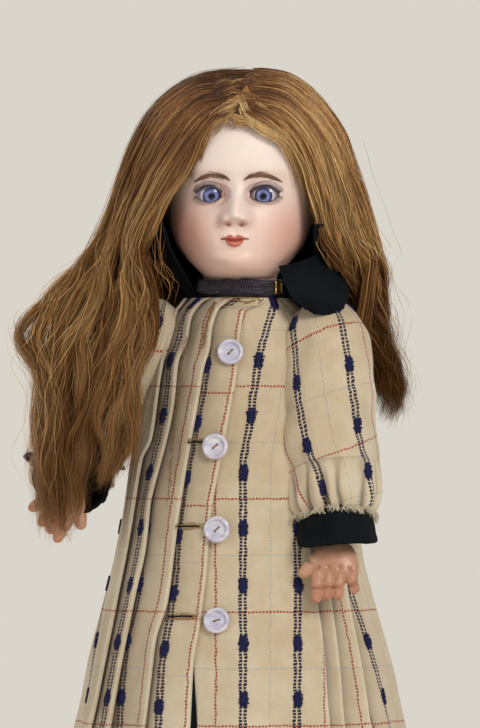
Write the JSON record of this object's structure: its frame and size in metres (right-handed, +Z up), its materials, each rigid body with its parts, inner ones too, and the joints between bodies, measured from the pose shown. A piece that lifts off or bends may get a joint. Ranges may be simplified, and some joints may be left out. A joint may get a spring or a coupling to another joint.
{
  "type": "bisque head doll",
  "caption": "Jointed child doll with a bisque socket head, glass eyes, long loose wig, composition body and a woven coat dress with velvet collar and cuffs.",
  "frame": {"origin": "on the floor between the shoes, under the middle of the doll's box", "axes": "+Z up, the doll faces -Y and its own left side is +X"},
  "size_m": [0.192, 0.15, 0.459],
  "materials": {
    "bisque": "unglazed tinted bisque, satin matte",
    "glass_eye": "clear blown glass over a violet blue iris",
    "plaster": "matte",
    "cork": "matte",
    "gauze": "open weave",
    "hair": "honey blonde mohair, soft sheen",
    "turned_wood": "plain turned",
    "iron_wire": "dull",
    "composition": "flesh paint under old varnish, satin",
    "elastic": "covered elastic, matte",
    "dress_wool": "cream wool with woven dotted lines and chenille tufts",
    "velvet": "dark teal navy cotton velvet",
    "silk_ribbon": "plum ribbed silk",
    "brass": "worn",
    "pearl": "mother of pearl, polished",
    "knit": "fine knit cotton",
    "shoe_leather": "worn glazed leather"
  },
  "bodies": {
    "torso": {"torso": "composition", "chest_elastic": "elastic", "leg_elastic": "elastic", "dress_right_front": "dress_wool", "dress_left_front": "dress_wool", "dress_back": "dress_wool", "velvet_collar": "velvet", "collar_lappet": "velvet", "neck_ribbon": "silk_ribbon", "ribbon_slide": "brass", "ribbon_knot": "velvet", "button_1": "pearl", "button_2": "pearl", "button_3": "pearl", "button_4": "pearl"},
    "neck": {"neck_hook": "iron_wire", "neck_button": "turned_wood"},
    "head": {"bisque_head": "bisque", "right_eye": "glass_eye", "left_eye": "glass_eye", "eye_plaster": "plaster", "cork_pate": "cork", "wig_cap": "gauze", "wig_crown": "hair", "wig_right_fall": "hair", "wig_left_fall": "hair", "wig_back_fall": "hair"},
    "left_shoulder": {"left_shoulder_ball": "turned_wood"},
    "left_arm": {"left_upper_arm": "composition", "left_arm_elastic": "elastic", "left_sleeve": "dress_wool"},
    "left_elbow": {"left_elbow_ball": "turned_wood"},
    "left_forearm": {"left_forearm": "composition", "left_cuff": "velvet"},
    "left_hand": {"left_hand": "composition"},
    "left_hip": {"left_hip_ball": "turned_wood"},
    "left_thigh": {"left_thigh": "composition", "left_leg_cord": "elastic"},
    "left_knee": {"left_knee_ball": "turned_wood"},
    "left_lower_leg": {"left_lower_leg": "composition", "left_stocking": "knit", "left_shoe": "shoe_leather"},
    "right_shoulder": {"right_shoulder_ball": "turned_wood"},
    "right_arm": {"right_upper_arm": "composition", "right_arm_elastic": "elastic", "right_sleeve": "dress_wool"},
    "right_elbow": {"right_elbow_ball": "turned_wood"},
    "right_forearm": {"right_forearm": "composition", "right_cuff": "velvet"},
    "right_hand": {"right_hand": "composition"},
    "right_hip": {"right_hip_ball": "turned_wood"},
    "right_thigh": {"right_thigh": "composition", "right_leg_cord": "elastic"},
    "right_knee": {"right_knee_ball": "turned_wood"},
    "right_lower_leg": {"right_lower_leg": "composition", "right_stocking": "knit", "right_shoe": "shoe_leather"}
  },
  "joints": [
    {"name": "neck_nod", "type": "hinge", "parent": "torso", "child": "neck", "pos_m": [0, 0, 0.36], "axis": [1, 0, 0], "range_deg": [-10, 6], "deforming": ["velvet_collar", "neck_ribbon", "collar_lappet"]},
    {"name": "neck_turn", "type": "hinge", "parent": "neck", "child": "head", "pos_m": [0, 0, 0.36], "axis": [0, 0, 1], "range_deg": [-70, 75], "deforming": ["wig_right_fall", "wig_left_fall", "wig_back_fall"]},
    {"name": "left_shoulder_swing", "type": "hinge", "parent": "torso", "child": "left_shoulder", "pos_m": [0.039, -0.0032, 0.337], "axis": [-1, 0, 0], "range_deg": [-45, 95], "deforming": ["chest_elastic"]},
    {"name": "left_shoulder_raise", "type": "hinge", "parent": "left_shoulder", "child": "left_arm", "pos_m": [0.039, -0.0032, 0.337], "axis": [0, -0.9848, 0.1736], "range_deg": [-2, 80], "deforming": ["left_sleeve", "left_arm_elastic"]},
    {"name": "left_elbow_bend", "type": "hinge", "parent": "left_arm", "child": "left_elbow", "pos_m": [0.04263, -0.01221, 0.28591], "axis": [-0.9976, -0.0121, -0.0687], "range_deg": [-22, 60]},
    {"name": "left_forearm_turn", "type": "hinge", "parent": "left_elbow", "child": "left_forearm", "pos_m": [0.04263, -0.01221, 0.28591], "axis": [0.0647, -0.5295, -0.8458], "range_deg": [-40, 40], "deforming": ["left_cuff"]},
    {"name": "left_wrist_bend", "type": "hinge", "parent": "left_forearm", "child": "left_hand", "pos_m": [0.04534, -0.03445, 0.25039], "axis": [-0.9976, -0.0121, -0.0687], "range_deg": [-35, 20]},
    {"name": "right_shoulder_swing", "type": "hinge", "parent": "torso", "child": "right_shoulder", "pos_m": [-0.039, -0.0032, 0.337], "axis": [-1, 0, 0], "range_deg": [-20, 125], "deforming": ["chest_elastic"]},
    {"name": "right_shoulder_raise", "type": "hinge", "parent": "right_shoulder", "child": "right_arm", "pos_m": [-0.039, -0.0032, 0.337], "axis": [0, 0.9397, 0.342], "range_deg": [-34, 48], "deforming": ["right_sleeve", "right_arm_elastic"]},
    {"name": "right_elbow_bend", "type": "hinge", "parent": "right_arm", "child": "right_elbow", "pos_m": [-0.06957, 0.01119, 0.29747], "axis": [-0.809, -0.201, 0.5523], "range_deg": [-80, 3]},
    {"name": "right_forearm_turn", "type": "hinge", "parent": "right_elbow", "child": "right_forearm", "pos_m": [-0.06957, 0.01119, 0.29747], "axis": [-0.1021, -0.8774, -0.4688], "range_deg": [-40, 40], "deforming": ["right_cuff"]},
    {"name": "right_wrist_bend", "type": "hinge", "parent": "right_forearm", "child": "right_hand", "pos_m": [-0.07385, -0.02566, 0.27778], "axis": [-0.809, -0.201, 0.5523], "range_deg": [-10, 50]},
    {"name": "left_hip_swing", "type": "hinge", "parent": "torso", "child": "left_hip", "pos_m": [0.0195, 0, 0.208], "axis": [-1, 0, 0], "range_deg": [-12, 60], "deforming": ["dress_left_front", "leg_elastic"]},
    {"name": "left_hip_spread", "type": "hinge", "parent": "left_hip", "child": "left_thigh", "pos_m": [0.0195, 0, 0.208], "axis": [0, -1, 0], "range_deg": [0, 22], "deforming": ["left_leg_cord"]},
    {"name": "left_knee_bend", "type": "hinge", "parent": "left_thigh", "child": "left_knee", "pos_m": [0.0195, 0, 0.118], "axis": [1, 0, 0], "range_deg": [0, 78]},
    {"name": "left_leg_turn", "type": "hinge", "parent": "left_knee", "child": "left_lower_leg", "pos_m": [0.0195, 0, 0.118], "axis": [0, 0, 1], "range_deg": [-12, 20]},
    {"name": "right_hip_swing", "type": "hinge", "parent": "torso", "child": "right_hip", "pos_m": [-0.0195, 0, 0.208], "axis": [-1, 0, 0], "range_deg": [-12, 60], "deforming": ["dress_right_front", "dress_back"]},
    {"name": "right_hip_spread", "type": "hinge", "parent": "right_hip", "child": "right_thigh", "pos_m": [-0.0195, 0, 0.208], "axis": [0, 1, 0], "range_deg": [0, 22], "deforming": ["right_leg_cord"]},
    {"name": "right_knee_bend", "type": "hinge", "parent": "right_thigh", "child": "right_knee", "pos_m": [-0.0195, 0, 0.118], "axis": [1, 0, 0], "range_deg": [0, 78]},
    {"name": "right_leg_turn", "type": "hinge", "parent": "right_knee", "child": "right_lower_leg", "pos_m": [-0.0195, 0, 0.118], "axis": [0, 0, -1], "range_deg": [-12, 20]}
  ]
}
